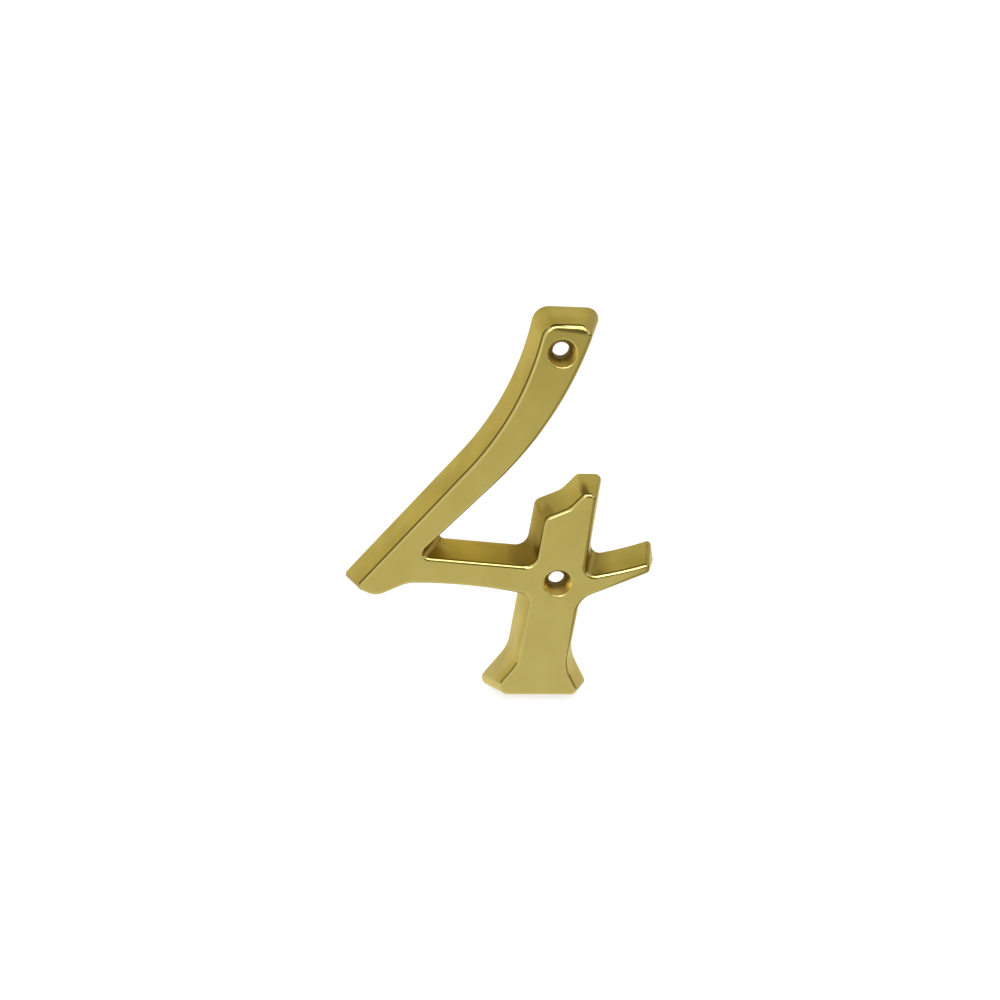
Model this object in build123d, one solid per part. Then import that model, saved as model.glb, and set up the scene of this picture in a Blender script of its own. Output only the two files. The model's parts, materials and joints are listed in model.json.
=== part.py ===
from build123d import *
from math import radians, tan
import os

# A house number four: one brass casting with a hollow back and two countersunk screw holes.
# It is drawn lying on its back, across along X and up along Y, and stood up at the end.
# Lengths are in millimetres and angles in degrees. The origin is on the wall, level with
# the bottom of the foot and straight below the lower screw hole.

# Casting
numeral_height = 101.6
casting_depth = 9.5
wall_draft = 12
edge_round = 1.0
rim_wall = 2.2
face_plate = 5.6
hollow_round = 1.0

# Screw holes, for a 4 mm countersunk screw
lower_hole_height = 33.0
upper_hole_drop = 9.1
upper_hole_x = -1.9
hole_diameter = 4.2
sink_diameter = 7.2
sink_angle = 60
sink_rim_round = 0.4

# Stem, a bar that leans to the right about the lower screw hole
stem_width = 16.3
stem_lean = 7.4
stem_height = 58.6

# Stepped top of the stem, measured from its upper right corner
stem_top_inset = 0.7
stem_top_width = 6.3
ramp_run = 3.8
ramp_drop = 4.2
notch_drop = 7.0

# Heights at which the other strokes meet the stem
bar_top_at_stem = 39.2
bar_bottom_at_stem = 28.0
arm_top_at_stem = 36.8
arm_bottom_at_stem = 27.1
left_ankle_height = 11.5
right_ankle_height = 10.3

# Corners of the strokes on the wall, as (across, up)
toe_tip = (-53.5, 30.4)
toe_heel = (-45.0, 26.8)
toe_instep = (-36.9, 30.6)
crotch = (-31.1, 41.2)
outer_bend = (-24.8, 64.0)
inner_bend = (-15.4, 57.6)
arm_upper_tip = (24.0, 41.0)
arm_lower_tip = (25.2, 34.9)

# Places across of the other corners, and the fall of the top end towards the right
top_left_x = -8.1
top_right_x = 8.4
top_fall = 0.3
foot_left_x = -19.6
foot_right_x = 10.4

# How far the long gentle curves leave their chords
bar_arch = 0.8
arm_sag = 0.35

# Corner radii
toe_round = 1.5
arm_tip_round = 1.1
foot_left_round = 2.5
foot_right_round = 1.6
top_right_round = 3.2
top_left_round = 4.2
heel_round = 4.5
stem_top_round = 1.8
crest_round = 1.6
step_round = 5.5
notch_round = 2.2
crotch_round = 1.5
bar_root_round = 3.4
inner_round = 2.5
armpit_round = 6.0
ankle_round = 10.0
instep_round = 8.5

# Most of a front edge that the rounds at its two ends may take together
round_share = 0.85

LEFT, RIGHT = -1, 1


def on_stem(side, height):
    """Point on the left or right edge of the leaning stem."""
    lean = (height - lower_hole_height) * tan(radians(stem_lean))
    return (lean + side * stem_width / 2, height)


bar_root = on_stem(LEFT, bar_top_at_stem)
bar_heel = on_stem(LEFT, bar_bottom_at_stem)
arm_root = on_stem(RIGHT, arm_top_at_stem)
armpit = on_stem(RIGHT, arm_bottom_at_stem)
left_ankle = on_stem(LEFT, left_ankle_height)
right_ankle = on_stem(RIGHT, right_ankle_height)
notch = on_stem(LEFT, stem_height - notch_drop)
stem_top_right_x = on_stem(RIGHT, stem_height)[0] - stem_top_inset
step_crest_x = stem_top_right_x - stem_top_width
stem_top_right = (stem_top_right_x, stem_height)
step_crest = (step_crest_x, stem_height)
step_foot = (step_crest_x - ramp_run, stem_height - ramp_drop)
top_left = (top_left_x, numeral_height)
top_right = (top_right_x, numeral_height - top_fall)
foot_left = (foot_left_x, 0)
foot_right = (foot_right_x, 0)

corner_radii = {
    toe_tip: toe_round,
    toe_heel: heel_round,
    toe_instep: instep_round,
    bar_heel: inner_round,
    left_ankle: ankle_round,
    foot_left: foot_left_round,
    foot_right: foot_right_round,
    right_ankle: ankle_round,
    armpit: armpit_round,
    arm_lower_tip: arm_tip_round,
    arm_upper_tip: arm_tip_round,
    arm_root: inner_round,
    stem_top_right: stem_top_round,
    step_crest: crest_round,
    step_foot: step_round,
    notch: notch_round,
    bar_root: bar_root_round,
    crotch: crotch_round,
    top_right: top_right_round,
    top_left: top_left_round,
}


def half_turn(before, corner, after):
    """Tangent of half the turn at a corner, negative at a hollow corner."""
    arriving = Vector(*corner) - Vector(*before)
    leaving = Vector(*after) - Vector(*corner)
    turn = arriving.get_signed_angle(leaving, Vector(0, 0, 1))
    return tan(radians(turn / 2))


def fitted(radii):
    """The corner radii, less where the drafted front edge beside a corner is too short."""
    corners = list(radii)
    preceding = corners[-1:] + corners[:-1]
    following = corners[1:] + corners[:1]
    turns = {}
    for before, corner, after in zip(preceding, corners, following):
        turns[corner] = half_turn(before, corner, after)
    draft_inset = casting_depth * tan(radians(wall_draft))
    fit = dict.fromkeys(corners, 1)
    for start, end in zip(corners, following):
        back_edge = (Vector(*end) - Vector(*start)).length
        front_edge = back_edge - draft_inset * (turns[start] + turns[end])
        taken = radii[start] * abs(turns[start]) + radii[end] * abs(turns[end])
        for corner in (start, end):
            fit[corner] = min(fit[corner], round_share * front_edge / taken)
    return {corner: radius * fit[corner] for corner, radius in radii.items()}


def outline():
    """The numeral on the wall, with sharp corners."""
    with BuildSketch() as sketch:
        with BuildLine():
            Polyline(toe_tip, toe_heel, toe_instep)
            SagittaArc(toe_instep, bar_heel, bar_arch)
            Polyline(bar_heel, left_ankle, foot_left, foot_right, right_ankle, armpit)
            Polyline(armpit, arm_lower_tip, arm_upper_tip)
            SagittaArc(arm_upper_tip, arm_root, arm_sag)
            Polyline(arm_root, stem_top_right, step_crest, step_foot, notch, bar_root, crotch)
            inner_edge = Line(crotch, inner_bend)
            TangentArc(inner_bend, top_right, tangent=inner_edge % 1)
            Line(top_right, top_left)
            outer_edge = Line(toe_tip, outer_bend)
            TangentArc(outer_bend, top_left, tangent=outer_edge % 1)
        make_face()
    return sketch.sketch


def drafted(sketch, depth):
    """A block on the sketch whose walls lean in as they leave the wall plane."""
    block = extrude(sketch, depth)
    ends = block.faces().filter_by(Plane.XY)
    return draft(block.faces() - ends, Plane.XY, wall_draft)


def wall_edges(block):
    """The edges that run from the back of a drafted block to its front."""
    ends = block.faces().filter_by(Plane.XY)
    return block.edges() - ends.edges()


def numeral_body():
    """The drafted numeral with rounded corners and a rounded edge round its face."""
    body = drafted(outline(), casting_depth)
    for corner, radius in fitted(corner_radii).items():
        corner_edge = wall_edges(body).sort_by_distance(corner)[0]
        body = fillet(corner_edge, radius)
    face = body.faces().sort_by(Axis.Z)[-1]
    return fillet(face.edges(), edge_round)


def hollow():
    """The space behind the face plate, inside a rim of even thickness."""
    core = offset(outline(), -rim_wall - hollow_round)
    inner_outline = offset(core, hollow_round)
    return drafted(inner_outline, casting_depth - face_plate)


def screw_hole():
    """A countersunk hole, from its mouth in the face back through the plate."""
    sink_depth = (sink_diameter - hole_diameter) / 2 / tan(radians(sink_angle / 2))
    sink = Cone(
        hole_diameter / 2,
        sink_diameter / 2,
        sink_depth,
        align=(Align.CENTER, Align.CENTER, Align.MAX),
    )
    bore = Cylinder(
        hole_diameter / 2,
        casting_depth,
        align=(Align.CENTER, Align.CENTER, Align.MAX),
    )
    return sink + bore


hole_places = [
    Pos(0, lower_hole_height, casting_depth),
    Pos(upper_hole_x, numeral_height - upper_hole_drop, casting_depth),
]

casting = numeral_body() - hollow()
casting -= [place * screw_hole() for place in hole_places]
mouths = casting.edges().filter_by(GeomType.CIRCLE).group_by(Axis.Z)[-1]
casting = fillet(mouths, sink_rim_round)

standing = Rotation(90, 0, 0) * casting

os.makedirs("parts", exist_ok=True)
export_step(standing, "parts/numeral_four.step")
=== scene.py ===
import json
from math import cos, pi, radians, sin
from types import SimpleNamespace

import bpy
from mathutils import Matrix, Vector


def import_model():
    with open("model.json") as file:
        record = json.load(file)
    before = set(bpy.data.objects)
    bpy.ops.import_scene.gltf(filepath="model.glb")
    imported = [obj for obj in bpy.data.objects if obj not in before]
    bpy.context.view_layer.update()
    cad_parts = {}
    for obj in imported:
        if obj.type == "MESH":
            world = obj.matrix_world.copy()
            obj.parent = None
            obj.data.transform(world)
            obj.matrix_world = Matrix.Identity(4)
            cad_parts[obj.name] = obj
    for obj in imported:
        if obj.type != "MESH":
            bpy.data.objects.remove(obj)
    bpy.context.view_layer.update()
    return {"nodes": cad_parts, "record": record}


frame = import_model()

# Lengths are in metres and angles in degrees, in the frame of the casting: up is +Z and its
# face looks along -Y.
numeral = frame["nodes"]["numeral_four"]
bores = [mount for mount in frame["record"]["mounts"] if mount["kind"] == "bore"]
bore_middles = [Vector(bore["pos_m"]) for bore in bores]
bore_radius = bores[0]["dims"]["r_mm"] / 1000
bore_length = bores[0]["dims"]["length_mm"] / 1000

# Camera
camera_azimuth = -5
camera_elevation = 21
camera_roll = 2.46
camera_distance = 0.4883
camera_target = Vector((-0.0153, -0.0095, 0.0550))
camera_lens_mm = 72
camera_sensor_mm = 36
camera_clip_start = 0.01

# Colour and roughness of the brass, by the part of the casting
face_color = (0.500, 0.418, 0.130, 1)
face_cloud_color = (0.480, 0.396, 0.118, 1)
edge_color = (0.530, 0.440, 0.145, 1)
wall_color = (0.498, 0.392, 0.086, 1)
# Painted shade: the walls are darker towards the front
wall_front_shade_color = (0.458, 0.354, 0.063, 1)
# Painted reflection: the walls by the foot are painted brighter
foot_reflection_color = (0.547, 0.446, 0.152, 1)
# Painted shade in inner corners and painted dark seam lines; also the random mottle of the walls
shade_and_mottle_color = (0.130, 0.075, 0.012, 1)
sink_color = (0.600, 0.480, 0.190, 1)
# Painted shade: the bores are painted dark as a shadowed hole
bore_shade_color = (0.090, 0.058, 0.010, 1)
back_color = (0.400, 0.310, 0.090, 1)
grazing_tint = (0.97, 0.91, 0.68, 1)
face_roughness = 0.20
edge_roughness = 0.14
wall_roughness = 0.36
sink_roughness = 0.28
bore_roughness = 0.50
back_roughness = 0.45

# Tilt of the surface, as the Y of its normal: -1 on the face, about -0.2 on a wall and 1 on the
# back. Each part of the casting has the tilt where it begins and the one where it is complete.
face_tilt = (-0.975, -0.997)
front_tilt = (-0.5, -0.7)
wall_tilt = (-0.45, -0.25)
back_tilt = (0.05, 0.15)

# Line where a wall meets its rounded edge, painted with a dark line that stands in for a dark
# reflection: its tilt from either side, and how dark the painted line is
seam_tilt_from_wall = (-0.24, -0.34)
seam_tilt_from_edge = (-0.78, -0.62)
seam_shade_strength = 0.55

# Depths, as Y, where the walls begin to take the painted shade towards the front and the painted
# reflection by the foot, and where they have it in full
wall_front_shade_depth = (-0.002, -0.008)
foot_reflection_depth = (-0.009, -0.004)

# Walls at the left of the foot, painted brighter as a painted reflection of the bright floor
# beside them: their middle and reach
foot_reflection_place = Vector((-0.0140, 0, 0.0100))
foot_reflection_reach = 0.026

# Inner corners of the walls, painted with shade where light falls least: where they are, how far
# the painted shade spreads and how dark it is
shaded_corners = [
    (Vector((-0.0085, 0, 0.0450)), 0.0160, 0.28),
    (Vector((-0.0065, 0, 0.0385)), 0.0090, 0.65),
    (Vector((-0.0315, 0, 0.0405)), 0.0050, 0.25),
    (Vector((0.0090, 0, 0.0372)), 0.0060, 0.35),
    (Vector((0.0057, 0, 0.0566)), 0.0015, 0.90),
    (Vector((-0.0029, 0, 0.0507)), 0.0022, 0.50),
]

# Zones round the screw holes, as distances from the axis
bore_zone = bore_radius + 0.00005
sink_zone = 0.0036
zone_blend = 0.0001

# Top end, where the polishing has rolled the face off: a line on the face, the way across it
# and how far and how steeply the face falls away beyond it
roll_start = Vector((-0.0045, 0, 0.0980))
roll_across = Vector((0.115, 0, 0.993))
roll_reach = 0.0016
roll_curve = 114

# Clouds in the metal: their scale, where they begin and are full, how much of the dull tone they
# give the walls, and what they make of the roughness
cloud_scale = 110
cloud_detail = 3
cloud_levels = (0.35, 0.65)
cloud_dullness = 0.13
cloud_roughness = (0.92, 1.08)

# Satin grain of the face, which runs up it, and ripples in the polish of the walls
grain_scale = (3000, 3000, 120)
grain_detail = 2
grain_strength = 0.04
grain_height = 0.0001
ripple_scale = 320
ripple_detail = 1
ripple_strength = 0.1
ripple_height = 0.0004

# Floor and world
white = (1, 1, 1, 1)
floor_side = 4
floor_drop = 0.0002
floor_color = (0.35, 0.35, 0.35, 1)
floor_glow = 0.76
world_light = 0.8

# Card on the floor in front of the numeral: a corner, the two sides that leave it, and its
# colour at the far side, from which it goes to white beside the numeral
front_floor_place = ((-0.8, -0.37, 0.0005), (0.89, 0, 0), (-0.068, 0.359, 0))
front_floor_far_color = (0.84, 0.80, 0.58, 1)

# Warm grey cards: a corner, the two sides that leave it, and the level
card_color = (1, 0.90, 0.60, 1)
grey_cards = {
    "front_strip": ((-0.02, -0.46, 0.0005), (0.8, 0, 0), (0, 0.09, 0), 0.25),
    "front_far": ((-0.02, -0.75, 0.0005), (0.8, 0, 0), (0, 0.29, 0), 0.70),
    "front_card": ((-0.03, -0.75, 0), (0.43, 0, 0), (0, 0, 0.45), 0.12),
    "top_card": ((-0.28, -0.1, 0.6), (0.68, 0, 0), (0, 0.48, 0), 0.22),
    "left_card": ((-0.55, -0.28, 0), (0, 0.54, 0), (0, 0, 0.6), 0.40),
    "right_card": ((0.55, -0.5, 0), (0, 1.0, 0), (0, 0, 0.15), 0.10),
    "right_floor": ((0.012, -0.33, 0.0004), (0.538, 0, 0), (0, 0.33, 0), 0.50),
    "left_floor": ((-0.55, -0.3, 0.0004), (0.49, 0, 0), (0, 0.32, 0), 0.85),
}

# Round cards in the back ends of the bores, a painted shade that the bore walls mirror
hole_card_clearance = 0.00002
hole_card_sides = 24
hole_card_level = 0.3

# Card behind the opening between the strokes, a painted shade that the walls round it mirror,
# with its corners as (across, up)
counter_card_corners = [(-0.0295, 0.0416), (-0.0085, 0.0398), (-0.0068, 0.0520), (-0.0165, 0.0555)]
counter_card_gap = 0.0002
counter_card_level = 0.80

# Lamps: the place, the width and height, and the level
lamp_aim = Vector((0, 0, 0.05))
lamps = {
    "key": (Vector((-0.11, -0.66, 0.45)), (0.14, 0.80), 5.0),
    "top_key": (Vector((0.12, -0.42, 0.62)), (0.50, 0.40), 3.0),
}


def node(tree, kind, **inputs):
    """A new shader node, with values or links for its inputs, by name or by number as i0, i1."""
    made = tree.nodes.new(kind)
    for name, value in inputs.items():
        socket = made.inputs[int(name[1:]) if name[1:].isdigit() else name.replace("_", " ")]
        if isinstance(value, bpy.types.NodeSocket):
            tree.links.new(value, socket)
        else:
            socket.default_value = value
    return made


def maths(tree, operation, first, second):
    """The result of a sum on two numbers."""
    made = node(tree, "ShaderNodeMath", i0=first, i1=second)
    made.operation = operation
    return made.outputs[0]


def product(tree, first, second):
    """Two numbers multiplied."""
    return maths(tree, "MULTIPLY", first, second)


def vector_maths(tree, operation, first, second=(0, 0, 0)):
    """The node of a sum on two vectors, which has the outputs Vector and Value."""
    made = node(tree, "ShaderNodeVectorMath", i0=first, i1=second)
    made.operation = operation
    return made


def ramp(tree, value, start, end):
    """Zero up to start, one from end on, and smooth between them."""
    made = node(tree, "ShaderNodeMapRange", Value=value, From_Min=start, From_Max=end)
    made.interpolation_type = "SMOOTHSTEP"
    return made.outputs[0]


def blend(tree, factor, first, second):
    """The first colour where the factor is zero and the second where it is one."""
    made = node(tree, "ShaderNodeMix", Factor=factor, i6=first, i7=second)
    made.data_type = "RGBA"
    return made.outputs[2]


def blend_number(tree, factor, first, second):
    """The first number where the factor is zero and the second where it is one."""
    return node(tree, "ShaderNodeMix", Factor=factor, i2=first, i3=second).outputs[0]


def blend_vector(tree, factor, first, second):
    """The first vector where the factor is zero and the second where it is one."""
    made = node(tree, "ShaderNodeMix", Factor=factor, i4=first, i5=second)
    made.data_type = "VECTOR"
    return made.outputs[1]


def noise(tree, place, scale, detail):
    """A soft random number that changes with the place."""
    return node(tree, "ShaderNodeTexNoise", Vector=place, Scale=scale, Detail=detail).outputs[0]


def distance(tree, place, point):
    """Distance of a place from the line through the point square to the face."""
    flat = vector_maths(tree, "MULTIPLY", place, (1, 0, 1))
    return vector_maths(tree, "DISTANCE", flat.outputs["Vector"], (point.x, 0, point.z)).outputs["Value"]


def spot(tree, place, point, reach):
    """One within a third of the reach of a point, zero beyond the reach, and smooth between them."""
    return ramp(tree, distance(tree, place, point), reach, reach / 3)


def seen_rays(tree):
    """One for rays from the camera and for mirrored and transmitted rays, else zero."""
    path = node(tree, "ShaderNodeLightPath")
    mirrored = maths(tree, "MAXIMUM", path.outputs["Is Glossy Ray"], path.outputs["Is Transmission Ray"])
    return maths(tree, "MAXIMUM", path.outputs["Is Camera Ray"], mirrored)


def blank_material(name):
    """A material whose node tree holds only its output."""
    material = bpy.data.materials.new(name)
    material.use_nodes = True
    tree = material.node_tree
    tree.nodes.clear()
    output = tree.nodes.new("ShaderNodeOutputMaterial")
    return material, tree, output


def casting_zones(tree):
    """The place and depth on the casting, and how far each part of it is there, from zero to one."""
    coordinates = node(tree, "ShaderNodeTexCoord")
    place = coordinates.outputs["Object"]
    depth = node(tree, "ShaderNodeSeparateXYZ", Vector=place).outputs["Y"]
    tilt = node(tree, "ShaderNodeSeparateXYZ", Vector=coordinates.outputs["Normal"]).outputs["Y"]
    wall = ramp(tree, tilt, *wall_tilt)
    back = ramp(tree, tilt, *back_tilt)
    # Painted reflection on the walls by the foot
    foot = spot(tree, place, foot_reflection_place, foot_reflection_reach)
    seam = product(tree, ramp(tree, tilt, *seam_tilt_from_wall), ramp(tree, tilt, *seam_tilt_from_edge))
    # Painted shade in the inner corners of the walls
    corners = 0.0
    for corner, reach, shade_strength in shaded_corners:
        dull = product(tree, spot(tree, place, corner, reach), shade_strength)
        corners = maths(tree, "MAXIMUM", corners, dull)
    to_axis = maths(tree, "MINIMUM", *[distance(tree, place, middle) for middle in bore_middles])
    sink = ramp(tree, to_axis, sink_zone, sink_zone - zone_blend)
    return SimpleNamespace(
        place=place,
        depth=depth,
        face=ramp(tree, tilt, *face_tilt),
        front=ramp(tree, tilt, *front_tilt),
        wall=wall,
        back=back,
        foot=foot,
        # Painted dark reflection line along the seams, left off by the foot
        seam=product(tree, seam, maths(tree, "SUBTRACT", 1.0, foot)),
        corner=product(tree, corners, wall),
        sink=maths(tree, "SUBTRACT", sink, back),
        bore=ramp(tree, to_axis, bore_zone, bore_zone - zone_blend),
        cloud=ramp(tree, noise(tree, place, cloud_scale, cloud_detail), *cloud_levels),
    )


def brass_color(tree, zones):
    """The colour of the brass, built up from the edge to the bores, with painted shade and painted
    reflection.
    """
    face = blend(tree, zones.cloud, face_color, face_cloud_color)
    # Painted shade: the walls grow darker towards the front
    wall = blend(tree, ramp(tree, zones.depth, *wall_front_shade_depth), wall_color, wall_front_shade_color)
    # Painted reflection: the walls by the foot grow brighter towards the back
    lit_foot_wall = product(tree, zones.foot, ramp(tree, zones.depth, *foot_reflection_depth))
    wall = blend(tree, lit_foot_wall, wall, foot_reflection_color)
    wall = blend(tree, product(tree, zones.cloud, cloud_dullness), wall, shade_and_mottle_color)
    color = blend(tree, zones.face, edge_color, face)
    color = blend(tree, zones.wall, color, wall)
    # Painted shade in the inner corners
    color = blend(tree, zones.corner, color, shade_and_mottle_color)
    # Painted reflection: a dark line where each wall meets its rounded edge
    color = blend(tree, product(tree, zones.seam, seam_shade_strength), color, shade_and_mottle_color)
    color = blend(tree, zones.back, color, back_color)
    color = blend(tree, zones.sink, color, sink_color)
    # Painted shade in the bores
    return blend(tree, zones.bore, color, bore_shade_color)


def brass_roughness(tree, zones):
    """The roughness of the brass, built up in the same order as its colour."""
    rough = blend_number(tree, zones.face, edge_roughness, face_roughness)
    rough = blend_number(tree, zones.wall, rough, wall_roughness)
    rough = blend_number(tree, zones.back, rough, back_roughness)
    rough = blend_number(tree, zones.sink, rough, sink_roughness)
    rough = blend_number(tree, zones.bore, rough, bore_roughness)
    return product(tree, rough, blend_number(tree, zones.cloud, *cloud_roughness))


def rolled_normal(tree, zones):
    """The normal where the face is rolled off at the top end, and the plain normal elsewhere."""
    across = vector_maths(tree, "DOT_PRODUCT", zones.place, roll_across).outputs["Value"]
    beyond = maths(tree, "SUBTRACT", across, roll_start.dot(roll_across))
    beyond = maths(tree, "MINIMUM", maths(tree, "MAXIMUM", beyond, 0.0), roll_reach)
    fall = product(tree, product(tree, beyond, beyond), -roll_curve)
    rolled = node(tree, "ShaderNodeBump", Height=fall, Strength=1.0, Distance=1.0).outputs[0]
    plain = node(tree, "ShaderNodeNewGeometry").outputs["Normal"]
    mixed = blend_vector(tree, zones.front, plain, rolled)
    return vector_maths(tree, "NORMALIZE", mixed).outputs["Vector"]


def brass_normal(tree, zones):
    """The normal with the roll at the top end, the grain of the face and the ripples of the walls."""
    grain_place = node(tree, "ShaderNodeMapping", Vector=zones.place, Scale=grain_scale).outputs[0]
    grain = product(tree, noise(tree, grain_place, 1.0, grain_detail), zones.face)
    satin = node(tree, "ShaderNodeBump", Height=grain, Strength=grain_strength, Distance=grain_height,
                 Normal=rolled_normal(tree, zones)).outputs[0]
    ripple = product(tree, noise(tree, zones.place, ripple_scale, ripple_detail), zones.wall)
    return node(tree, "ShaderNodeBump", Height=ripple, Strength=ripple_strength, Distance=ripple_height,
                Normal=satin).outputs[0]


def brass():
    """Cast brass: a satin face, polished edges and walls, a dull back and bores, painted shade in the
    inner corners and bores, a painted dark seam line, and painted reflection on the walls.
    """
    material, tree, output = blank_material("brass")
    zones = casting_zones(tree)
    shader = node(
        tree,
        "ShaderNodeBsdfPrincipled",
        Base_Color=brass_color(tree, zones),
        Metallic=1.0,
        Roughness=brass_roughness(tree, zones),
        Specular_Tint=grazing_tint,
        Normal=brass_normal(tree, zones),
    )
    tree.links.new(shader.outputs[0], output.inputs["Surface"])
    return material


def glowing(name, color, glow):
    """A pale matt surface that also glows a little where it is seen."""
    material, tree, output = blank_material(name)
    matt = node(tree, "ShaderNodeBsdfDiffuse", Color=color)
    light = node(tree, "ShaderNodeEmission", Color=white, Strength=product(tree, seen_rays(tree), glow))
    both = node(tree, "ShaderNodeAddShader", i0=matt.outputs[0], i1=light.outputs[0])
    tree.links.new(both.outputs[0], output.inputs["Surface"])
    return material


def grey(name, level):
    """The material of a card of one warm grey level."""
    material, tree, output = blank_material(name)
    glow = node(tree, "ShaderNodeEmission", Color=card_color, Strength=level)
    tree.links.new(glow.outputs[0], output.inputs["Surface"])
    return material


def graded(name, first, second):
    """The material of a card that goes from one colour at its front to another at its back."""
    material, tree, output = blank_material(name)
    place = node(tree, "ShaderNodeTexCoord").outputs["Generated"]
    along = node(tree, "ShaderNodeSeparateXYZ", Vector=place).outputs["Y"]
    glow = node(tree, "ShaderNodeEmission", Color=blend(tree, along, first, second), Strength=1.0)
    tree.links.new(glow.outputs[0], output.inputs["Surface"])
    return material


def four_corners(corner, first_side, second_side):
    """The corners of a flat four-sided sheet, from one of them and the two sides that leave it."""
    start, along, across = Vector(corner), Vector(first_side), Vector(second_side)
    return [start, start + along, start + along + across, start + across]


def sheet(name, corners, material):
    """A flat sheet of the stage."""
    mesh = bpy.data.meshes.new(name)
    mesh.from_pydata(corners, [], [range(len(corners))])
    mesh.materials.append(material)
    made = bpy.data.objects.new(name, mesh)
    bpy.context.scene.collection.objects.link(made)
    return made


def card(name, corners, material):
    """A card that only shows as a reflection in the metal."""
    made = sheet(name, corners, material)
    made.visible_camera = False
    made.visible_diffuse = False
    made.visible_shadow = False


def floor():
    """A wide pale floor just below the foot."""
    corner = (-floor_side / 2, -floor_side / 2, -floor_drop)
    corners = four_corners(corner, (floor_side, 0, 0), (0, floor_side, 0))
    sheet("floor", corners, glowing("floor", floor_color, floor_glow))


def cards():
    """The cards on the floor and round the numeral, in its holes and behind its opening."""
    front_floor = graded("front_floor", front_floor_far_color, white)
    card("front_floor", four_corners(*front_floor_place), front_floor)
    for name, (corner, first_side, second_side, level) in grey_cards.items():
        card(name, four_corners(corner, first_side, second_side), grey(name, level))
    radius = bore_radius - hole_card_clearance
    turns = [2 * pi * side / hole_card_sides for side in range(hole_card_sides)]
    rim = [Vector((radius * cos(turn), bore_length / 2, radius * sin(turn))) for turn in turns]
    # Painted shade in the bores: cards that the bore walls mirror
    for middle in bore_middles:
        card("hole_card", [middle + point for point in rim], grey("hole_card", hole_card_level))
    # Painted shade behind the opening: a card that the walls round it mirror
    counter_corners = [(across, counter_card_gap, up) for across, up in counter_card_corners]
    card("counter_card", counter_corners, grey("counter_card", counter_card_level))


def softbox(name, place, size, level):
    """A lamp with an even rectangle of light, as bright as the level."""
    width, height = size
    lamp = bpy.data.lights.new(name, "AREA")
    lamp.shape = "RECTANGLE"
    lamp.size, lamp.size_y = width, height
    lamp.energy = level * pi * width * height
    made = bpy.data.objects.new(name, lamp)
    bpy.context.scene.collection.objects.link(made)
    made.location = place
    made.rotation_euler = (lamp_aim - place).to_track_quat("-Z", "Y").to_euler()


def camera():
    """The camera, turned about the target and rolled about its own axis."""
    azimuth, elevation, roll = radians(camera_azimuth), radians(camera_elevation), radians(camera_roll)
    back = Vector((sin(azimuth) * cos(elevation), -cos(azimuth) * cos(elevation), sin(elevation)))
    level = Vector((cos(azimuth), sin(azimuth), 0))
    upright = back.cross(level)
    right = cos(roll) * level + sin(roll) * upright
    up = back.cross(right)
    data = bpy.data.cameras.new("camera")
    data.lens = camera_lens_mm
    data.sensor_width = camera_sensor_mm
    data.clip_start = camera_clip_start
    made = bpy.data.objects.new("camera", data)
    turn = Matrix((right, up, back)).transposed().to_4x4()
    made.matrix_world = Matrix.Translation(camera_target + camera_distance * back) @ turn
    bpy.context.scene.collection.objects.link(made)
    bpy.context.scene.camera = made


def world():
    """White where it is seen or mirrored, and a softer light elsewhere."""
    made = bpy.data.worlds.new("studio")
    bpy.context.scene.world = made
    made.use_nodes = True
    tree = made.node_tree
    tree.nodes.clear()
    strength = blend_number(tree, seen_rays(tree), world_light, 1.0)
    light = node(tree, "ShaderNodeBackground", Color=white, Strength=strength)
    output = node(tree, "ShaderNodeOutputWorld")
    tree.links.new(light.outputs[0], output.inputs["Surface"])


numeral.data.materials[0] = brass()
floor()
cards()
for name, (place, size, level) in lamps.items():
    softbox(name, place, size, level)
camera()
world()

bpy.context.scene.view_settings.view_transform = "Standard"
